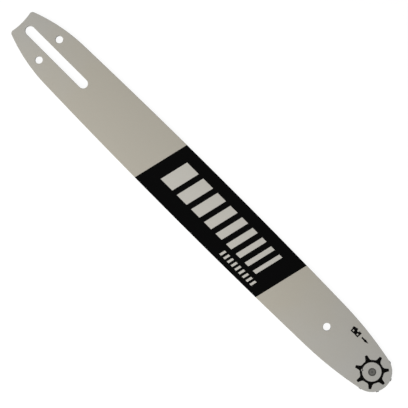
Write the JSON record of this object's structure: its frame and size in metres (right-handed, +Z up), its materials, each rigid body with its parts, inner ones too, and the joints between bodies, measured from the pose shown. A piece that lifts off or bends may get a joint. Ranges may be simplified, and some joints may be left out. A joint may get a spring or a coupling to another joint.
{
  "type": "chainsaw guide bar",
  "caption": "Long flat laminated guide bar with a rounded sprocket nose, a chain groove round its edge, a stud slot and tension holes at the tail and a hole to hang it by.",
  "frame": {"origin": "middle of the bar's length and width, on the underside it lies on", "axes": "+X along the bar towards the nose, +Z up through the plates, +Y across the bar"},
  "size_m": [0.4562, 0.0534, 0.0041],
  "materials": {
    "plate_paint": "satin",
    "core_steel": "satin",
    "sprocket_steel": "satin",
    "bearing_steel": "polished",
    "rivet_steel": "dark satin",
    "print_black": "matte",
    "print_grey": "matte"
  },
  "bodies": {
    "bar": {"side_plate_top": "plate_paint", "side_plate_bottom": "plate_paint", "core_plate": "core_steel", "bearing_race": "bearing_steel", "nose_rivet": "rivet_steel"},
    "sprocket": {"nose_sprocket": "sprocket_steel"},
    "rollers": {"roller_01": "bearing_steel", "roller_02": "bearing_steel", "roller_03": "bearing_steel", "roller_04": "bearing_steel", "roller_05": "bearing_steel", "roller_06": "bearing_steel", "roller_07": "bearing_steel", "roller_08": "bearing_steel", "roller_09": "bearing_steel", "roller_10": "bearing_steel", "roller_11": "bearing_steel", "roller_12": "bearing_steel", "roller_13": "bearing_steel", "roller_14": "bearing_steel", "roller_15": "bearing_steel", "roller_16": "bearing_steel", "roller_17": "bearing_steel", "roller_18": "bearing_steel", "roller_19": "bearing_steel", "roller_20": "bearing_steel", "roller_21": "bearing_steel", "roller_22": "bearing_steel", "roller_23": "bearing_steel", "roller_24": "bearing_steel"}
  },
  "joints": [
    {"name": "sprocket_spin", "type": "hinge", "parent": "bar", "child": "sprocket", "pos_m": [0.2105, 0, 0.00205], "axis": [0, 0, 1], "continuous": true},
    {"name": "roller_orbit", "type": "hinge", "parent": "bar", "child": "rollers", "pos_m": [0.2105, 0, 0.00205], "axis": [0, 0, 1], "continuous": true}
  ],
  "couplings": [
    {"joint": "roller_orbit", "follows": "sprocket_spin", "ratio": 0.56573}
  ]
}
